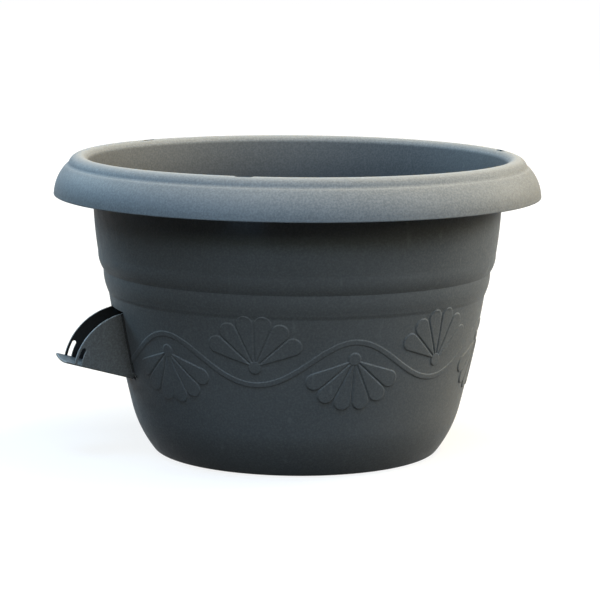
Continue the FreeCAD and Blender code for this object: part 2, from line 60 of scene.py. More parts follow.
# Pot section: the sizes of the solid, with a rounder band, an eased neck, and a groove and a lip on the rim
RIM_RADIUS = cad_high.x / MM
POT_HEIGHT = cad_high.z / MM
WALL = 2.1
BASE_RADIUS = RIM_RADIUS - 63.3
BASE_CORNER = 3.06
BASE_RECESS = 2.0
FOOT_WIDTH = 5.5
BOWL_LEAN = math.radians(37.8)
BOWL_ARC = 72.6
BOWL_RADIUS = RIM_RADIUS - 47.6
BOWL_HEIGHT = 29.0
WALL_ARC = 780.0
WALL_TOP_RADIUS = RIM_RADIUS - 33.0
BAND_HEIGHT = 101.0
BAND_PROUD = 0.7
BAND_EASE = 3.2
BAND_ARC = 30.0
CREASE_RADIUS = RIM_RADIUS - 30.2
CREASE_HEIGHT = BAND_HEIGHT + 11.8
COLLAR_FOOT_ARC = 18.5
COLLAR_RADIUS = RIM_RADIUS - 26.9
COLLAR_HEIGHT = CREASE_HEIGHT + 11.1
COLLAR_ARC = 256.0
NECK_RADIUS = RIM_RADIUS - 23.9
NECK_HEIGHT = POT_HEIGHT - 22.3
NECK_REACH = 8.0
SHOULDER_RISE = 3 * WALL
SHOULDER_STEP = WALL / 4
RIM_EDGE_HEIGHT = POT_HEIGHT - 23.9
RIM_WALL = 2.0
CROWN_RADIUS = RIM_RADIUS - 15.5
CROWN_HALF_WIDTH = 5.8
CROWN_RISE = 4.3
SKIRT_ARC = 26.0
GROOVE_RADIUS = CROWN_RADIUS + 6.6
GROOVE_HEIGHT = POT_HEIGHT - 5.25
GROOVE_REACH = 0.8
GROOVE_DIP = 0.2
LIP_PROUD = 0.1
LIP_HEIGHT = 0.6

# Rounded corners and eased joins of the section
EDGE_ROUNDING = 0.4
ROUNDED_TURN = math.radians(25)
ROUNDED_SHARE = 0.45
ROUNDED_POINTS = 5
JOIN_POINTS = 7

# Cuts in the pot
HANGER_COUNT = 3
HANGER_SLOT_LENGTH = 11.0
HANGER_SLOT_WIDTH = 3.6
HANGER_SLOT_SIDES = 32
HINGE = next(joint for joint in frame["joints"] if joint["name"] == "hatch_tilt")["pos_m"]
HINGE_REACH = -HINGE[0] / MM
HINGE_HEIGHT = HINGE[2] / MM
WINDOW_HALF = 15.9
WINDOW_SILL = HINGE_HEIGHT - 2.6
WINDOW_TOP = HINGE_HEIGHT + 39.3
SEAT_SIZE = 3.6
SEAT_SETBACK = 0.3
SEAT_END = WINDOW_HALF + 3.8
BORE_RADIUS = 1.36
BORE_END = 18.8
BORE_SIDES = 48

# Grooves in the outer faces of the open hatch's cheeks, along the outside of the wall
CHEEK_FACE = 15.5
CHEEK_GROOVE_WIDTH = 1.4
CHEEK_GROOVE_DEPTH = 1.0
CHEEK_GROOVE_START = 1.5
CHEEK_GROOVE_END = 38.0
CHEEK_GROOVE_ROWS = 9

# Relief on the wall: a waving vine with a fan of petals in every bay
RELIEF_TURN = math.radians(0.6)
VINE_WAVES = 6
VINE_MIDDLE = 70.8
VINE_SWING = 13.0
VINE_PINCH = 0.64
VINE_WIDTH = 3.0
VINE_RISE = 0.38
PETALS = 6
PETAL_STEP = math.radians(24.1)
PETAL_LENGTH = 31.5
PETAL_TIP = 5.05
PETAL_START = 4.2
PETAL_FOOT = 0.45
PETAL_RISE = 0.58
HUB_RADIUS = 3.75
HUB_RISE = 0.55
HUB_UPRIGHT_HEIGHT = 69.0
HUB_HANGING_HEIGHT = 74.2
RELIEF_EDGE = 0.5
RELIEF_FOOT = 41.0
RELIEF_ROW = 0.3

# Wicks: felt strips looped over the bars of the false floor
WICK_COUNT = 4
WICK_RING = 42.0
WICK_WIDTH = 18.0
WICK_THICKNESS = 2.5
WICK_SPAN = 16.0
WICK_END = 7.0
WICK_LOOP = 58.3
WICK_TAIL = WICK_LOOP - WICK_END
WICK_ARCH = math.pi * WICK_SPAN / 2
WICK_LENGTH = 2 * WICK_TAIL + WICK_ARCH
WICK_STEPS = 110
WICK_SIDES = 28
WICK_SIDE_POWER = 0.25
WICK_FACE_POWER = 0.6
WICK_RUFFLE = 0.16

# Mesh fineness
COLUMNS = 360
FINE_COLUMNS = 5 * COLUMNS
LOW_ROWS = 8
ARC_STEP = 1.6
ARC_TURN = math.radians(6)

# Softened edges of the moulded pieces, and the turn from which an edge is shaded as a sharp one
SOFT_ROUNDING = 0.3
SOFT_SEGMENTS = 2
SOFT_TURN = math.radians(35)
WELD_DISTANCE = 0.001
FLAT_TURN = math.radians(0.5)
SHARP_POT_TURN = math.radians(55)
SHARP_MOULDED_TURN = math.radians(40)
SHARP_FELT_TURN = math.radians(70)


# Meshes

def link(obj):
    """Put a new object into the scene."""
    bpy.context.scene.collection.objects.link(obj)
    return obj


def mesh_object(name, points, faces):
    """Make an object from points in millimetres and faces."""
    mesh = bpy.data.meshes.new(name)
    mesh.from_pydata((np.asarray(points) * MM).tolist(), [], faces)
    mesh.validate()
    return link(bpy.data.objects.new(name, mesh))


def circle_turns(count):
    """Even turns round a circle."""
    return [2 * math.pi * (index + 0.5) / count for index in range(count)]


def prism_object(outline, length, place):
    """Make a straight prism along the upright axis, half of it on each side of its place."""
    count = len(outline)
    points = [place @ Vector((x, y, side * length / 2)) for side in (-1, 1) for x, y in outline]
    faces = [list(range(count))[::-1], list(range(count, 2 * count))]
    for index in range(count):
        after = (index + 1) % count
        faces.append([index, after, count + after, count + index])
    return mesh_object("tool", points, faces)


def box_object(low, high):
    """Make a block between two corners."""
    middle = [(a + b) / 2 for a, b in zip(low, high)]
    x = (high[0] - low[0]) / 2
    y = (high[1] - low[1]) / 2
    outline = [(-x, -y), (x, -y), (x, y), (-x, y)]
    return prism_object(outline, high[2] - low[2], Matrix.Translation(middle))


def bridge(low_start, low_count, high_start, high_count):
    """Join two rings. One ring may have several points for each point of the other."""
    low_share = max(1, low_count // high_count)
    high_share = max(1, high_count // low_count)
    faces = []
    for index in range(min(low_count, high_count)):
        low = [low_start + (index * low_share + k) % low_count for k in range(low_share + 1)]
        high = [high_start + (index * high_share + k) % high_count for k in range(high_share + 1)]
        faces.append(low + high[::-1])
    return faces


def bake_modifiers(obj):
    """Replace an object's mesh by what its modifiers make of it."""
    depsgraph = bpy.context.evaluated_depsgraph_get()
    made = bpy.data.meshes.new_from_object(obj.evaluated_get(depsgraph))
    obj.modifiers.clear()
    obj.data = made


def cut(obj, operation, tool):
    """Add or take away a tool's shape for good."""
    modifier = obj.modifiers.new("cut", "BOOLEAN")
    modifier.operation = operation
    modifier.object = tool
    modifier.solver = "MANIFOLD"
    bake_modifiers(obj)
    bpy.data.objects.remove(tool)


def shade(obj, sharp_turn):
    """Shade an object smoothly, apart from edges that turn more than a limit."""
    obj.data.polygons.foreach_set("use_smooth", [True] * len(obj.data.polygons))
    obj.data.set_sharp_from_angle(angle=sharp_turn)


def smooth_step(low, high, amount):
    """Rise from 0 to 1 between two amounts, level at both ends."""
    share = np.clip((amount - low) / (high - low), 0, 1)
    return share * share * (3 - 2 * share)


# Section of the pot

def arc_points(start, end, radius, turn):
    """List points along an arc, without its start. It bends left with a turn of 1, right with -1."""
    start = np.array(start)
    end = np.array(end)
    chord = end - start
    half = np.linalg.norm(chord) / 2
    left = np.array([-chord[1], chord[0]]) / (2 * half)
    middle = (start + end) / 2 + left * turn * math.sqrt(max(radius ** 2 - half ** 2, 0))
    sweep = 2 * math.asin(min(half / radius, 1))
    count = max(2, math.ceil(sweep * radius / ARC_STEP), math.ceil(sweep / ARC_TURN))
    first = math.atan2(start[1] - middle[1], start[0] - middle[0])
    points = []
    for angle in first + turn * sweep * np.arange(1, count + 1) / count:
        points.append((middle[0] + radius * math.cos(angle), middle[1] + radius * math.sin(angle)))
    return points


def trace(path):
    """List the points along straight runs, (r, z), and arcs, (r, z, radius, turn)."""
    points = [path[0][:2]]
    for step in path[1:]:
        if len(step) == 2:
            points.append(step)
        else:
            points.extend(arc_points(points[-1], step[:2], step[2], step[3]))
    return points


def round_corners(points, radius):
    """Replace each sharp corner of a run of points with a small curve."""
    rounded = [points[0]]
    for before, corner, after in zip(points, points[1:], points[2:]):
        arrive = np.subtract(corner, before)
        leave = np.subtract(after, corner)
        arrive_length = np.linalg.norm(arrive)
        leave_length = np.linalg.norm(leave)
        turn = math.acos(np.clip(arrive @ leave / (arrive_length * leave_length), -1, 1))
        if turn < ROUNDED_TURN:
            rounded.append(corner)
            continue
        longest = ROUNDED_SHARE * min(arrive_length, leave_length)
        length = min(radius * math.tan(turn / 2), longest)
        first = corner - arrive / arrive_length * length
        last = corner + leave / leave_length * length
        for share in np.linspace(0, 1, ROUNDED_POINTS):
            near = first + (np.array(corner) - first) * share
            far = np.array(corner) + (last - np.array(corner)) * share
            rounded.append(tuple(near + (far - near) * share))
    rounded.append(points[-1])
    return rounded


def join_runs(first, second, reach):
    """Join two runs that meet in a corner, with a curve that starts and ends a reach away from it."""
    corner = np.array(first[-1])
    before = [point for point in first if math.dist(point, corner) > reach]
    after = [point for point in second if math.dist(point, corner) > reach]
    curve = []
    for share in np.linspace(0, 1, JOIN_POINTS)[1:-1]:
        near = np.array(before[-1]) * (1 - share) + corner * share
        far = corner * (1 - share) + np.array(after[0]) * share
        curve.append(tuple(near * (1 - share) + far * share))
    return before + curve + after


def wall_radius(height):
    """Outer radius of the wall between the bowl and the band."""
    share = (height - BOWL_HEIGHT) / (BAND_HEIGHT - BOWL_HEIGHT)
    bulge = (BAND_HEIGHT - BOWL_HEIGHT) ** 2 / (2 * WALL_ARC) * share * (1 - share)
    return BOWL_RADIUS + (WALL_TOP_RADIUS - BOWL_RADIUS) * share + bulge


def wall_slope(height):
    """How far the wall leans out for each millimetre that it rises."""
    return (wall_radius(height + 1) - wall_radius(height - 1)) / 2


def arc_over(half_width, rise):
    """Radius of an arc that rises so far over half its width."""
    return (half_width ** 2 + rise ** 2) / (2 * rise)


def foot_point(inset):
    """Where the base's corner runs into the bowl, so far inside the outer face."""
    radius = BASE_RADIUS + BASE_CORNER * math.cos(BOWL_LEAN)
    height = BASE_CORNER * (1 - math.sin(BOWL_LEAN))
    return radius - inset * math.cos(BOWL_LEAN), height + inset * math.sin(BOWL_LEAN)


def low_run():
    """Trace the outside from under the base up to the foot of the relief."""
    points = trace([
        (0, BASE_RECESS),
        (BASE_RADIUS - FOOT_WIDTH - BASE_RECESS, BASE_RECESS),
        (BASE_RADIUS - FOOT_WIDTH, 0),
        (BASE_RADIUS, 0),
        (*foot_point(0), BASE_CORNER, 1),
        (BOWL_RADIUS, BOWL_HEIGHT, BOWL_ARC, 1),
    ])
    heights = np.linspace(BOWL_HEIGHT, RELIEF_FOOT, LOW_ROWS)[1:]
    return points + [(wall_radius(height), height) for height in heights]


def relief_run():
    """List the fine rows of the wall, which lean out at the top to meet the band."""
    count = round((BAND_HEIGHT - RELIEF_FOOT) / RELIEF_ROW)
    points = []
    for height in np.linspace(RELIEF_FOOT, BAND_HEIGHT, count + 1)[1:-1]:
        ease = BAND_PROUD * smooth_step(BAND_HEIGHT - BAND_EASE, BAND_HEIGHT, height)
        points.append((wall_radius(height) + ease, height))
    return points


def high_run():
    """Trace the section from the band up, over the rim and down inside to the middle of the floor."""
    crown_edge = POT_HEIGHT - CROWN_RISE
    inner_arc = arc_over(CROWN_HALF_WIDTH, CROWN_RISE)
    outer_arc = arc_over(GROOVE_RADIUS - CROWN_RADIUS, POT_HEIGHT - GROOVE_HEIGHT + GROOVE_DIP)
    hollow_half = CROWN_HALF_WIDTH - RIM_WALL
    neck_inside = NECK_RADIUS - WALL
    floor_inside = BASE_RECESS + WALL
    under_rim = trace([
        (WALL_TOP_RADIUS + BAND_PROUD, BAND_HEIGHT),
        (CREASE_RADIUS, CREASE_HEIGHT, BAND_ARC, 1),
        (COLLAR_RADIUS, COLLAR_HEIGHT, COLLAR_FOOT_ARC, 1),
        (NECK_RADIUS, NECK_HEIGHT, COLLAR_ARC, 1),
        (NECK_RADIUS + SHOULDER_STEP, NECK_HEIGHT + SHOULDER_RISE),
        (CROWN_RADIUS - hollow_half, crown_edge),
        (CROWN_RADIUS + hollow_half, crown_edge, inner_arc - RIM_WALL, -1),
        (CROWN_RADIUS + CROWN_HALF_WIDTH - RIM_WALL / 2, crown_edge - RIM_WALL),
        (RIM_RADIUS - RIM_WALL, RIM_EDGE_HEIGHT, SKIRT_ARC - RIM_WALL, -1),
    ])
    skirt = trace([
        (RIM_RADIUS + LIP_PROUD, RIM_EDGE_HEIGHT),
        (RIM_RADIUS + LIP_PROUD, RIM_EDGE_HEIGHT + LIP_HEIGHT),
        (RIM_RADIUS, RIM_EDGE_HEIGHT + 2 * LIP_HEIGHT),
        (GROOVE_RADIUS + 2 * GROOVE_DIP, GROOVE_HEIGHT, SKIRT_ARC, 1),
        (GROOVE_RADIUS, GROOVE_HEIGHT - GROOVE_DIP),
    ])
    crown = trace([
        (GROOVE_RADIUS, GROOVE_HEIGHT - GROOVE_DIP),
        (CROWN_RADIUS, POT_HEIGHT, outer_arc, 1),
        (CROWN_RADIUS - CROWN_HALF_WIDTH, crown_edge, inner_arc, 1),
        ((CROWN_RADIUS - CROWN_HALF_WIDTH + neck_inside) / 2, (crown_edge + NECK_HEIGHT) / 2),
        (neck_inside, NECK_HEIGHT),
    ])
    inside = trace([
        (neck_inside, NECK_HEIGHT),
        (COLLAR_RADIUS - WALL, COLLAR_HEIGHT, COLLAR_ARC - WALL, -1),
        (CREASE_RADIUS - WALL, CREASE_HEIGHT, COLLAR_FOOT_ARC - WALL, -1),
        (WALL_TOP_RADIUS - WALL, BAND_HEIGHT),
        (BOWL_RADIUS - WALL, BOWL_HEIGHT, WALL_ARC - WALL, -1),
        (*foot_point(WALL), BOWL_ARC - WALL, -1),
        (BASE_RADIUS - WALL / 2, WALL),
        (BASE_RADIUS - FOOT_WIDTH + WALL / 2, WALL),
        (BASE_RADIUS - FOOT_WIDTH - BASE_RECESS + WALL / 2, floor_inside),
        (0, floor_inside),
    ])
    over_rim = join_runs(skirt, crown, GROOVE_REACH)
    return under_rim + join_runs(over_rim, inside, NECK_REACH)


def pot_section():
    """List the pot's rings from under the base round to the floor inside: radius, height and columns."""
    rings = [(radius, height, COLUMNS) for radius, height in round_corners(low_run(), EDGE_ROUNDING)]
    rings += [(radius, height, FINE_COLUMNS) for radius, height in relief_run()]
    rings += [(radius, height, COLUMNS) for radius, height in round_corners(high_run(), EDGE_ROUNDING)]
    return rings


# Relief

def pad(inside):
    """Height share of a raised pad, from how far inside its outline a point lies."""
    return smooth_step(-RELIEF_EDGE / 2, RELIEF_EDGE / 2, inside)


def petal_inside(across, along):
    """Distance inside one petal, a drop with a narrow foot and a round tip, along its own axis."""
    across = np.abs(across)
    along = along - PETAL_START
    length = PETAL_LENGTH - PETAL_TIP - PETAL_START
    sine = (PETAL_FOOT - PETAL_TIP) / length
    cosine = math.sqrt(1 - sine ** 2)
    share = along * cosine - across * sine
    side = across * cosine + along * sine - PETAL_FOOT
    foot = np.hypot(across, along) - PETAL_FOOT
    tip = np.hypot(across, along - length) - PETAL_TIP
    return -np.where(share < 0, foot, np.where(share > cosine * length, tip, side))


def fan_rise(across, along):
    """Height of one fan of petals and its hub."""
    rise = np.zeros_like(across)
    for number in range(PETALS):
        lean = (number - (PETALS - 1) / 2) * PETAL_STEP
        petal_across = across * math.cos(lean) - along * math.sin(lean)
        petal_along = across * math.sin(lean) + along * math.cos(lean)
        rise = np.maximum(rise, PETAL_RISE * pad(petal_inside(petal_across, petal_along)))
    return np.maximum(rise, HUB_RISE * pad(HUB_RADIUS - np.hypot(across, along)))


def relief_rise(turn, height, radius):
    """Height of the relief at a turn away from the hatch and a height on the wall."""
    wave = VINE_WAVES * (turn - RELIEF_TURN)
    vine_height = VINE_MIDDLE - VINE_SWING * np.cos(wave) + VINE_PINCH * np.cos(2 * wave)
    vine_slope = VINE_WAVES * (VINE_SWING * np.sin(wave) - 2 * VINE_PINCH * np.sin(2 * wave)) / radius
    off_vine = np.abs(height - vine_height) / np.hypot(1, vine_slope)
    rise = VINE_RISE * pad(VINE_WIDTH / 2 - off_vine)
    # The hatch takes the place of the first upright fan
    for number in range(1, 2 * VINE_WAVES):
        upright = number % 2 == 0
        middle = number * math.pi / VINE_WAVES + RELIEF_TURN
        off_middle = (turn - middle + math.pi) % (2 * math.pi) - math.pi
        across = off_middle * radius
        if upright:
            along = height - HUB_UPRIGHT_HEIGHT
        else:
            along = HUB_HANGING_HEIGHT - height
        rise = np.maximum(rise, fan_rise(across, along))
    return rise


# Pot

def ring_points(radius, height, columns):
    """Place the points of one ring, with the relief where the ring is a fine one."""
    turns = 2 * math.pi * np.arange(columns) / columns
    out = np.zeros(columns)
    lean = 0.0
    if columns == FINE_COLUMNS:
        out = relief_rise(turns - math.pi, height, radius)
        lean = wall_slope(height)
    size = math.hypot(1, lean)
    reach = radius + out / size
    return np.column_stack([reach * np.cos(turns), reach * np.sin(turns), height - out * lean / size])


def turn_section(name, rings):
    """Turn a section that starts and ends on the axis."""
    points = [np.array([[0, 0, rings[0][1]]])]
    starts = []
    count = 1
    for radius, height, columns in rings[1:-1]:
        starts.append((count, columns))
        points.append(ring_points(radius, height, columns))
        count += columns
    points.append(np.array([[0, 0, rings[-1][1]]]))
    faces = []
    first, columns = starts[0]
    for index in range(columns):
        faces.append([0, first + (index + 1) % columns, first + index])
    for low, high in zip(starts, starts[1:]):
        faces += bridge(*low, *high)
    last, columns = starts[-1]
    for index in range(columns):
        faces.append([count, last + index, last + (index + 1) % columns])
    return mesh_object(name, np.vstack(points), faces)


def hatch_tools():
    """Make the tools for the block of the hinge seats, the hatch window and the bore through the seats."""
    block = box_object(
        (-(HINGE_REACH - SEAT_SETBACK), -SEAT_END, HINGE_HEIGHT - SEAT_SIZE),
        (-(HINGE_REACH - SEAT_SIZE), SEAT_END, HINGE_HEIGHT + SEAT_SIZE))
    window = box_object(
        (-RIM_RADIUS, -WINDOW_HALF, WINDOW_SILL),
        (-BOWL_RADIUS / 2, WINDOW_HALF, WINDOW_TOP))
    circle = []
    for turn in circle_turns(BORE_SIDES):
        circle.append((BORE_RADIUS * math.cos(turn), BORE_RADIUS * math.sin(turn)))
    place = Matrix.Translation((-HINGE_REACH, 0, HINGE_HEIGHT)) @ Matrix.Rotation(math.pi / 2, 4, "X")
    bore = prism_object(circle, 2 * BORE_END, place)
    return [("UNION", block), ("DIFFERENCE", window), ("DIFFERENCE", bore)]


def hanger_tools():
    """Make the tools for the hanger slots, with round ends."""
    half = HANGER_SLOT_WIDTH / 2
    straight = (HANGER_SLOT_LENGTH - HANGER_SLOT_WIDTH) / 2
    outline = []
    for turn in circle_turns(HANGER_SLOT_SIDES):
        side = straight if math.sin(turn) >= 0 else -straight
        outline.append((half * math.cos(turn), half * math.sin(turn) + side))
    tools = []
    for number in range(HANGER_COUNT):
        place = Matrix.Rotation(2 * math.pi * number / HANGER_COUNT, 4, "Z")
        place = place @ Matrix.Translation((CROWN_RADIUS, 0, POT_HEIGHT))
        tools.append(("DIFFERENCE", prism_object(outline, 2 * (CROWN_RISE + RIM_WALL), place)))
    return tools


def make_pot():
    """Turn the section, then make the hinge seats, the hatch window and the hanger slots in it."""
    pot = turn_section("pot_shell_moulded", pot_section())
    for operation, tool in hatch_tools() + hanger_tools():
        cut(pot, operation, tool)
    shade(pot, SHARP_POT_TURN)
    return pot


# Moulded pieces that keep the shape of their solids, with softened edges

def merge_flat_faces(mesh):
    """Weld a mesh and make each flat stretch of it one face."""
    work = bmesh.new()
    work.from_mesh(mesh)
    bmesh.ops.remove_doubles(work, verts=work.verts, dist=WELD_DISTANCE * MM)
    bmesh.ops.dissolve_limit(work, angle_limit=FLAT_TURN, verts=work.verts, edges=work.edges)
    work.to_mesh(mesh)
    work.free()


def cheek_grooves():
    """Make the tools that groove the cheeks of the open hatch where they leave the wall."""
    low = HINGE_HEIGHT + CHEEK_GROOVE_START
    high = HINGE_HEIGHT + CHEEK_GROOVE_END
    heights = np.linspace(low, high, CHEEK_GROOVE_ROWS)
    edge = [(-math.sqrt(wall_radius(height) ** 2 - WINDOW_HALF ** 2), height) for height in heights]
    outer = [(x - CHEEK_GROOVE_WIDTH, height) for x, height in edge]
    inner = [(x + CHEEK_GROOVE_WIDTH / 2, height) for x, height in edge]
    upright = Matrix.Rotation(math.pi / 2, 4, "X")
    tools = []
    for side in (-1, 1):
        place = Matrix.Translation((0, side * CHEEK_FACE, 0)) @ upright
        tools.append(prism_object(inner + outer[::-1], 2 * CHEEK_GROOVE_DEPTH, place))
    return tools


def softened_copy(node, name, tools):
    """Copy a solid's mesh, cut by the tools there are, with its edges rounded."""
    mesh = frame["nodes"][node].data.copy()
    mesh.materials.clear()
    merge_flat_faces(mesh)
    obj = link(bpy.data.objects.new(name, mesh))
    for tool in tools:
        cut(obj, "DIFFERENCE", tool)
        merge_flat_faces(obj.data)
    bevel = obj.modifiers.new("softened", "BEVEL")
    bevel.width = SOFT_ROUNDING * MM
    bevel.segments = SOFT_SEGMENTS
    bevel.limit_method = "ANGLE"
    bevel.angle_limit = SOFT_TURN
    bake_modifiers(obj)
    shade(obj, SHARP_MOULDED_TURN)
    # Without this, the shading of a rounded edge would run out over the flat face beside it
    obj.modifiers.new("flat_faces", "WEIGHTED_NORMAL").keep_sharp = True
    bake_modifiers(obj)
    return obj


# Wicks

def wick_path(share):
    """Place and direction along the strip's middle line, in the upright plane through the pot's axis."""
    run = share * WICK_LENGTH
    half = WICK_SPAN / 2
    if run < WICK_TAIL:
        return half, WICK_END + run, 0.0
    if run < WICK_TAIL + WICK_ARCH:
        turn = (run - WICK_TAIL) / half
        return half * math.cos(turn), WICK_LOOP + half * math.sin(turn), turn
    return -half, WICK_LOOP - (run - WICK_TAIL - WICK_ARCH), math.pi


def squared(wave, power):
    """Swell a wave towards its highest and lowest value, the more the smaller the power."""
    return np.sign(wave) * abs(wave) ** power


def make_wick(number):
    """Make one strip as a rounded band along its path, uneven like felt."""
    chance = np.random.default_rng(number)
    turn = (2 * number - 1) * math.pi / WICK_COUNT
    points = []
    faces = []
    for step in range(WICK_STEPS + 1):
        off, height, lean = wick_path(step / WICK_STEPS)
        for angle in circle_turns(WICK_SIDES):
            across = squared(math.cos(angle), WICK_SIDE_POWER) * WICK_WIDTH / 2
            thick = squared(math.sin(angle), WICK_FACE_POWER) * WICK_THICKNESS / 2
            across += chance.normal(0, WICK_RUFFLE)
            thick += chance.normal(0, WICK_RUFFLE / 4)
            reach = WICK_RING + off + thick * math.cos(lean)
            up = height + thick * math.sin(lean) + chance.normal(0, WICK_RUFFLE / 2)
            points.append((
                reach * math.cos(turn) - across * math.sin(turn),
                reach * math.sin(turn) + across * math.cos(turn),
                up))
    for step in range(WICK_STEPS):
        faces += bridge(step * WICK_SIDES, WICK_SIDES, (step + 1) * WICK_SIDES, WICK_SIDES)
    faces.append(list(range(WICK_SIDES))[::-1])
    faces.append([WICK_STEPS * WICK_SIDES + side for side in range(WICK_SIDES)])
    obj = mesh_object(f"wick_{number}_felt", points, faces)
    shade(obj, SHARP_FELT_TURN)
    return obj


# Materials. Scales are features to the metre, and ranges are the part of an amount that counts.
WHITE = (1, 1, 1)
BRIGHT_GREY = (0.46, 0.47, 0.48)
PALE_GREY = (0.34, 0.35, 0.36)
DULL_GREY = (0.09, 0.09, 0.092)
BLACK_GREY = (0.03, 0.03, 0.031)
PAINTED_SHADE_GREY = (0.012, 0.012, 0.0125)
MOTTLE_SCALE = 14
MOTTLE_DETAIL = 4
MOTTLE_RANGE = (0.35, 0.65)
GRAIN_SCALE = 900
GRAIN_DETAIL = 3
GRAIN_RANGE = (0.4, 0.75)
GRAIN_SHARE = 0.2
SCUFF_SCALE = 160
SCUFF_DETAIL = 8
SCUFF_STRETCH = (1, 1, 0.25)
SCUFF_RANGE = (0.64, 0.8)
SCUFF_SHARE = 0.3
# Painted light from above: faces that lean back a little are patchily paler, faces that look up fully paler
LEANING_RANGE = (0.02, 0.15)
PATCH_RANGE = (0.35, 0.65)
PATCH_SHARE = (0.55, 1.45)
UPWARD_RANGE = (0.7, 1)
# Upper edges get a painted highlight. Lower edges and close corners get painted shade.
EDGE_REACH = 1.2 * MM
EDGE_SAMPLES = 6
EDGE_LIKENESS = (0.99, 0.9)
EDGE_LIGHT_RANGE = (0.05, 0.3)
LOWER_EDGE_SHADE_RANGE = (-0.3, -0.1)
CORNER_REACH = 12 * MM
CORNER_SAMPLES = 8
CORNER_SHADE_RANGE = (0.5, 0.95)
INNER_SHADE_RANGE = (-0.98, -0.8)
ROUGH_SCALE = 220
ROUGH_DETAIL = 3
ROUGH_RANGE = (0.3, 0.7)
ROUGH_SPREAD = 0.06
FINE_SCALE = 1100
FINE_DETAIL = 2
FINE_STRENGTH = 0.2
FINE_HEIGHT = 0.15 * MM
RIPPLE_SCALE = 90
RIPPLE_DETAIL = 2
RIPPLE_STRENGTH = 0.12
RIPPLE_HEIGHT = 0.5 * MM
FIBRE_SCALE = 900
FIBRE_DETAIL = 6
FIBRE_STRETCH = (1, 1, 0.35)
FIBRE_RANGE = (0.3, 0.7)
FIBRE_STRENGTH = 0.6
FIBRE_HEIGHT = 0.6 * MM
FELT_ROUGH = 0.95
FELT_GLOSS = 0.1
FELT_SHEEN = 0.4


class Graph:
    """A material's nodes, with short ways to add and join them."""

    def __init__(self, name):
        self.material = bpy.data.materials.new(name)
        self.material.use_nodes = True
        self.tree = self.material.node_tree
        self.shader = self.tree.nodes["Principled BSDF"]
        own = self.add("ShaderNodeTexCoord")
        self.place = own.outputs["Object"]
        self.normal = own.outputs["Normal"]

    def add(self, kind, **settings):
        """Add a node. Settings name its properties, or its sockets where the value is for one."""
        node = self.tree.nodes.new(kind)
        for key, amount in settings.items():
            if hasattr(node, key):
                setattr(node, key, amount)
            else:
                node.inputs[key.replace("_", " ")].default_value = amount
        return node

    def join(self, output, socket):
        """Join an output to a socket."""
        self.tree.links.new(output, socket)

    def stretched(self, scale):
        """Object coordinates, stretched."""
        node = self.add("ShaderNodeMapping", Scale=scale)
        self.join(self.place, node.inputs["Vector"])
        return node.outputs["Vector"]

    def noise(self, scale, detail, place=None):
        """Soft noise, with so many features to the metre."""
        node = self.add("ShaderNodeTexNoise", Scale=scale, Detail=detail)
        self.join(place or self.place, node.inputs["Vector"])
        return node.outputs["Fac"]

    def spread(self, amount, before, after):
        """Carry one range of an amount over to another."""
        node = self.add(
            "ShaderNodeMapRange",
            From_Min=before[0], From_Max=before[1], To_Min=after[0], To_Max=after[1])
        self.join(amount, node.inputs["Value"])
        return node.outputs["Result"]

    def blend(self, amount, first, second):
        """Mix two colours. Each is a colour or the output of another mix."""
        node = self.add("ShaderNodeMix", data_type="RGBA")
        self.join(amount, node.inputs["Factor"])
        colour_sockets = [socket for socket in node.inputs if socket.type == "RGBA"]
        for socket, colour in zip(colour_sockets, (first, second)):
            if isinstance(colour, tuple):
                socket.default_value = (*colour, 1)
            else:
                self.join(colour, socket)
        return next(output for output in node.outputs if output.type == "RGBA")

    def upright(self, direction):
        """How far a direction points up."""
        node = self.add("ShaderNodeSeparateXYZ")
        self.join(direction, node.inputs["Vector"])
        return node.outputs["Z"]

    def dot(self, first, second):
        """How far two directions agree."""
        node = self.add("ShaderNodeVectorMath", operation="DOT_PRODUCT")
        self.join(first, node.inputs[0])
        self.join(second, node.inputs[1])
        return node.outputs["Value"]

    def product(self, first, second):
        """One amount times another."""
        node = self.add("ShaderNodeMath", operation="MULTIPLY")
        self.join(first, node.inputs[0])
        self.join(second, node.inputs[1])
        return node.outputs["Value"]

    def edges(self):
        """Where the surface has an edge close by, and how far that edge looks up."""
        rounded = self.add("ShaderNodeBevel", samples=EDGE_SAMPLES, Radius=EDGE_REACH).outputs["Normal"]
        plain = self.add("ShaderNodeNewGeometry").outputs["Normal"]
        return self.spread(self.dot(rounded, plain), EDGE_LIKENESS, (0, 1)), self.upright(rounded)

    def open_share(self):
        """How open the surface lies, 1 where nothing is near."""
        node = self.add("ShaderNodeAmbientOcclusion", samples=CORNER_SAMPLES, Distance=CORNER_REACH)
        return node.outputs["AO"]

    def bump(self, amount, strength, distance, under=None):
        """Raise the surface by an amount, on top of another bump."""
        node = self.add("ShaderNodeBump", Strength=strength, Distance=distance)
        self.join(amount, node.inputs["Height"])
        if under is not None:
            self.join(under, node.inputs["Normal"])
        return node.outputs["Normal"]


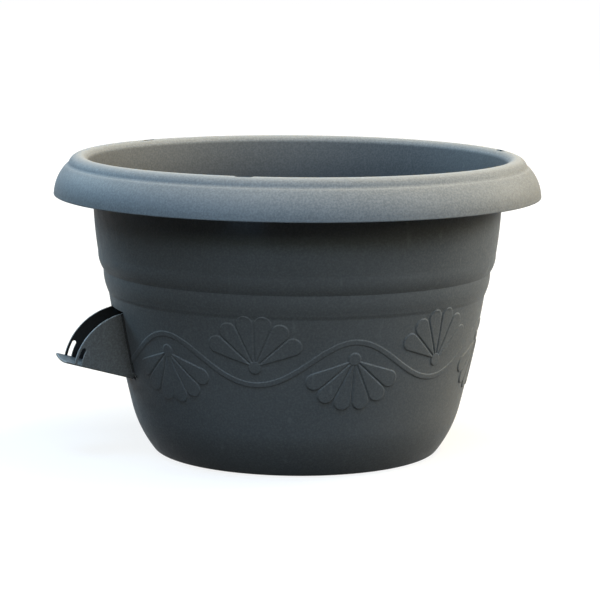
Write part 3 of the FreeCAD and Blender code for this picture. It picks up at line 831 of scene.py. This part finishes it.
def plastic(name, dark, light, pale, painted_top_light, painted_edge_light, painted_corner_shade, rough, gloss, inside, hollow):
    """Moulded plastic: mottled, grained and scuffed, with painted light and shade.

    It is paler upwards by painted light, has a painted highlight on upper edges and painted shade
    inside. Where it has painted shade on edges, that lies in its corners and on its lower edges.
    """
    graph = Graph(name)
    mottle = graph.noise(MOTTLE_SCALE, MOTTLE_DETAIL)
    colour = graph.blend(graph.spread(mottle, MOTTLE_RANGE, (0, 1)), dark, light)
    grain = graph.noise(GRAIN_SCALE, GRAIN_DETAIL)
    colour = graph.blend(graph.spread(grain, GRAIN_RANGE, (0, GRAIN_SHARE)), colour, pale)
    scuffs = graph.noise(SCUFF_SCALE, SCUFF_DETAIL, graph.stretched(SCUFF_STRETCH))
    colour = graph.blend(graph.spread(scuffs, SCUFF_RANGE, (0, SCUFF_SHARE)), colour, pale)

    # Painted light: faces that look up are made paler, as light from above would make them
    facing = graph.upright(graph.normal)
    patchy = graph.spread(grain, PATCH_RANGE, PATCH_SHARE)
    leaning = graph.spread(facing, LEANING_RANGE, (0, painted_top_light / 3))
    colour = graph.blend(graph.product(leaning, patchy), colour, pale)
    colour = graph.blend(graph.spread(facing, UPWARD_RANGE, (0, painted_top_light)), colour, pale)

    # Painted highlight on upper edges
    edge, edge_facing = graph.edges()
    upper_edge_light = graph.spread(edge_facing, EDGE_LIGHT_RANGE, (0, painted_edge_light))
    colour = graph.blend(graph.product(edge, upper_edge_light), colour, pale)
    # Painted shade on lower edges and in close corners
    if painted_corner_shade:
        lower_edge_shade = graph.spread(edge_facing, LOWER_EDGE_SHADE_RANGE, (painted_corner_shade, 0))
        colour = graph.blend(graph.product(edge, lower_edge_shade), colour, PAINTED_SHADE_GREY)
        colour = graph.blend(graph.spread(graph.open_share(), CORNER_SHADE_RANGE, (painted_corner_shade, 0)), colour, PAINTED_SHADE_GREY)

    # Painted shade: faces turned inwards are darkened
    away = graph.add("ShaderNodeVectorMath", operation="NORMALIZE")
    graph.join(graph.stretched(hollow), away.inputs[0])
    outward = graph.dot(graph.normal, away.outputs["Vector"])
    colour = graph.blend(graph.spread(outward, INNER_SHADE_RANGE, (inside, 0)), colour, PAINTED_SHADE_GREY)
    graph.join(colour, graph.shader.inputs["Base Color"])

    uneven = graph.noise(ROUGH_SCALE, ROUGH_DETAIL)
    roughness = graph.spread(uneven, ROUGH_RANGE, (rough - ROUGH_SPREAD, rough + ROUGH_SPREAD))
    graph.join(roughness, graph.shader.inputs["Roughness"])
    graph.shader.inputs["Specular IOR Level"].default_value = gloss
    fine = graph.bump(graph.noise(FINE_SCALE, FINE_DETAIL), FINE_STRENGTH, FINE_HEIGHT)
    ripple = graph.bump(graph.noise(RIPPLE_SCALE, RIPPLE_DETAIL), RIPPLE_STRENGTH, RIPPLE_HEIGHT, fine)
    graph.join(ripple, graph.shader.inputs["Normal"])
    return graph.material


def felt(name, dark, light):
    """Needle felt: matted fibres, soft and matt."""
    graph = Graph(name)
    fibres = graph.noise(FIBRE_SCALE, FIBRE_DETAIL, graph.stretched(FIBRE_STRETCH))
    colour = graph.blend(graph.spread(fibres, FIBRE_RANGE, (0, 1)), dark, light)
    graph.join(colour, graph.shader.inputs["Base Color"])
    graph.shader.inputs["Roughness"].default_value = FELT_ROUGH
    graph.shader.inputs["Specular IOR Level"].default_value = FELT_GLOSS
    graph.shader.inputs["Sheen Weight"].default_value = FELT_SHEEN
    graph.join(graph.bump(fibres, FIBRE_STRENGTH, FIBRE_HEIGHT), graph.shader.inputs["Normal"])
    return graph.material


def paint(obj, material):
    """Give an object one material."""
    obj.data.materials.clear()
    obj.data.materials.append(material)


# Inside is what faces the pot's axis, or in the hatch what faces its middle plane.
# Darkness inside, paler tops, light upper edges, dark lower edges and corners: painted light and shade
POT_PLASTIC = plastic(
    "pot_plastic", (0.120, 0.128, 0.136), (0.142, 0.149, 0.156), PALE_GREY,
    painted_top_light=0.43, painted_edge_light=0.04, painted_corner_shade=0, rough=0.55, gloss=0.05, inside=0.61, hollow=(1, 1, 0))
HATCH_PLASTIC = plastic(
    "hatch_plastic", (0.124, 0.120, 0.113), (0.146, 0.139, 0.130), BRIGHT_GREY,
    painted_top_light=0.08, painted_edge_light=1, painted_corner_shade=0.85, rough=0.5, gloss=0.08, inside=0.92, hollow=(0, 1, 0))
INSERT_PLASTIC = plastic(
    "insert_plastic", BLACK_GREY, (0.04, 0.04, 0.041), DULL_GREY,
    painted_top_light=0.3, painted_edge_light=0.4, painted_corner_shade=0, rough=0.5, gloss=0.3, inside=0.2, hollow=(1, 1, 0))
FELT = felt("wick_felt", (0.55, 0.53, 0.47), (0.76, 0.74, 0.69))

# Pieces

pieces = [(make_pot(), "pot_shell", "pot", "pot_plastic", POT_PLASTIC)]
for node, body, slot, material, tools in [
    ("filler_hatch", "hatch", "hatch_plastic", HATCH_PLASTIC, cheek_grooves()),
    ("reservoir_separator", "insert", "insert_plastic", INSERT_PLASTIC, []),
    ("soil_guard", "insert", "insert_plastic", INSERT_PLASTIC, []),
]:
    pieces.append((softened_copy(node, f"{node}_moulded", tools), node, body, slot, material))
for number in range(1, WICK_COUNT + 1):
    pieces.append((make_wick(number), f"wick_{number}", "insert", "wick_felt", FELT))
for piece, node, body, slot, material in pieces:
    paint(piece, material)
    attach(piece, body)
    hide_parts(node)

# Camera and lamps. Distances and lamp sizes are in metres, the lens and its sensor in millimetres.

CAMERA_TURN = math.radians(-107)
CAMERA_RISE = math.radians(8.84)
CAMERA_ROLL = math.radians(0.49)
CAMERA_DISTANCE = 1.530
CAMERA_AIM = Vector((0, 0, 0.0934))
CAMERA_LENS = 147.5
CAMERA_SENSOR = 36
CAMERA_SHIFT = (0.0056, -0.0036)
CAMERA_RANGE = 100
LAMP_DISTANCE = 1.9


def around(turn, rise, distance):
    """A place round the pot, by its turn, its rise above the horizon and its distance."""
    flat = math.cos(rise) * distance
    return CAMERA_AIM + Vector((flat * math.cos(turn), flat * math.sin(turn), math.sin(rise) * distance))


def aim(obj, roll=0.0):
    """Turn a camera or lamp towards the pot."""
    turned = (CAMERA_AIM - obj.location).to_track_quat("-Z", "Y").to_matrix()
    obj.rotation_euler = (turned @ Matrix.Rotation(roll, 3, "Z")).to_euler()


def add_camera():
    """Add the camera where the photo was taken from."""
    data = bpy.data.cameras.new("camera")
    data.sensor_width = CAMERA_SENSOR
    data.lens = CAMERA_LENS
    data.shift_x, data.shift_y = CAMERA_SHIFT
    data.clip_end = CAMERA_RANGE
    camera = link(bpy.data.objects.new("camera", data))
    camera.location = around(CAMERA_TURN, CAMERA_RISE, CAMERA_DISTANCE)
    aim(camera, CAMERA_ROLL)
    bpy.context.scene.camera = camera


def add_lamp(name, turn, rise, width, height, power, colour):
    """Add a soft lamp. Its turn is counted from the camera, anticlockwise seen from above."""
    light = bpy.data.lights.new(name, "AREA")
    light.shape = "RECTANGLE"
    light.size = width
    light.size_y = height
    light.energy = power
    light.color = colour
    obj = link(bpy.data.objects.new(name, light))
    obj.location = around(CAMERA_TURN + math.radians(turn), math.radians(rise), LAMP_DISTANCE)
    aim(obj)


add_camera()
add_lamp("sky_lamp", 0, 71, 1.4, 0.6, 46.5, (0.37, 0.67, 1.0))
add_lamp("high_front_lamp", 0, 56, 1.6, 0.4, 5.0, (0.85, 0.95, 1.0))
add_lamp("front_lamp", 0, 36, 1.8, 0.35, 8.2, (0.68, 0.83, 1.0))
add_lamp("low_front_lamp", 0, 27, 1.8, 0.35, 3.0, (0.86, 1.0, 0.85))
add_lamp("right_lamp", 80, 30, 0.9, 0.5, 5.5, (0.67, 0.81, 1.0))
add_lamp("low_right_lamp", 80, 15, 0.9, 0.5, 4.4, (1.0, 0.91, 0.65))
add_lamp("warm_high_lamp", 95, 69, 1.0, 0.9, 44, (1.0, 0.58, 0.0))
add_lamp("warm_back_lamp", 112, 23, 0.9, 0.6, 29, (1.0, 0.96, 0.8))
add_lamp("left_lamp", -125, 30, 0.9, 0.7, 24, (0.5, 0.8, 1.0))

# Surroundings that show as white and light the pot only a little. Far from the pot, where the lamps don't
# reach, the floor is white by itself.

WORLD_LIGHT = (0.9, 0.95, 1)
WORLD_POWER = 0.01
FLOOR_RADIUS = 14.0 / MM
FLOOR_SIDES = 64
FLOOR_DULL = (0.03, 0.03, 0.03)
FLOOR_PALE = (0.2, 0.2, 0.2)
FLOOR_GLOW = (0.82, 1)
FLOOR_GLOW_RANGE = (0.5, 1.6)


def where_seen(tree, unseen, seen):
    """Mix two shaders, the second for what the camera sees, also by reflection or through glass."""
    path = tree.nodes.new("ShaderNodeLightPath")
    share = path.outputs["Is Camera Ray"]
    for name in ("Is Glossy Ray", "Is Transmission Ray"):
        larger = tree.nodes.new("ShaderNodeMath")
        larger.operation = "MAXIMUM"
        tree.links.new(share, larger.inputs[0])
        tree.links.new(path.outputs[name], larger.inputs[1])
        share = larger.outputs["Value"]
    mix = tree.nodes.new("ShaderNodeMixShader")
    tree.links.new(share, mix.inputs["Fac"])
    tree.links.new(unseen, mix.inputs[1])
    tree.links.new(seen, mix.inputs[2])
    return mix.outputs["Shader"]


def add_world():
    """Surround the pot with a faint light that shows as white."""
    world = bpy.data.worlds.new("studio")
    world.use_nodes = True
    bpy.context.scene.world = world
    tree = world.node_tree
    lit = tree.nodes["Background"]
    lit.inputs["Color"].default_value = (*WORLD_LIGHT, 1)
    lit.inputs["Strength"].default_value = WORLD_POWER
    seen = tree.nodes.new("ShaderNodeBackground")
    seen.inputs["Color"].default_value = (*WHITE, 1)
    seen.inputs["Strength"].default_value = 1
    shown = where_seen(tree, lit.outputs["Background"], seen.outputs["Background"])
    tree.links.new(shown, tree.nodes["World Output"].inputs["Surface"])


def make_floor():
    """Lay a floor that shows as white and throws little light back on the pot."""
    points = []
    for turn in circle_turns(FLOOR_SIDES):
        points.append((FLOOR_RADIUS * math.cos(turn), FLOOR_RADIUS * math.sin(turn), 0))
    floor = mesh_object("floor", points, [list(range(FLOOR_SIDES))])
    graph = Graph("floor_white")
    graph.tree.nodes.remove(graph.shader)
    dull = graph.add("ShaderNodeBsdfDiffuse", Color=(*FLOOR_DULL, 1))
    pale = graph.add("ShaderNodeBsdfDiffuse", Color=(*FLOOR_PALE, 1))
    glow = graph.add("ShaderNodeEmission", Color=(*WHITE, 1))
    away = graph.add("ShaderNodeVectorMath", operation="LENGTH")
    graph.join(graph.place, away.inputs[0])
    graph.join(graph.spread(away.outputs["Value"], FLOOR_GLOW_RANGE, FLOOR_GLOW), glow.inputs["Strength"])
    glowing = graph.add("ShaderNodeAddShader")
    graph.join(pale.outputs["BSDF"], glowing.inputs[0])
    graph.join(glow.outputs["Emission"], glowing.inputs[1])
    shown = where_seen(graph.tree, dull.outputs["BSDF"], glowing.outputs["Shader"])
    graph.join(shown, graph.tree.nodes["Material Output"].inputs["Surface"])
    paint(floor, graph.material)
    return floor


add_world()
floor = make_floor()

bpy.context.scene.view_settings.view_transform = "Standard"
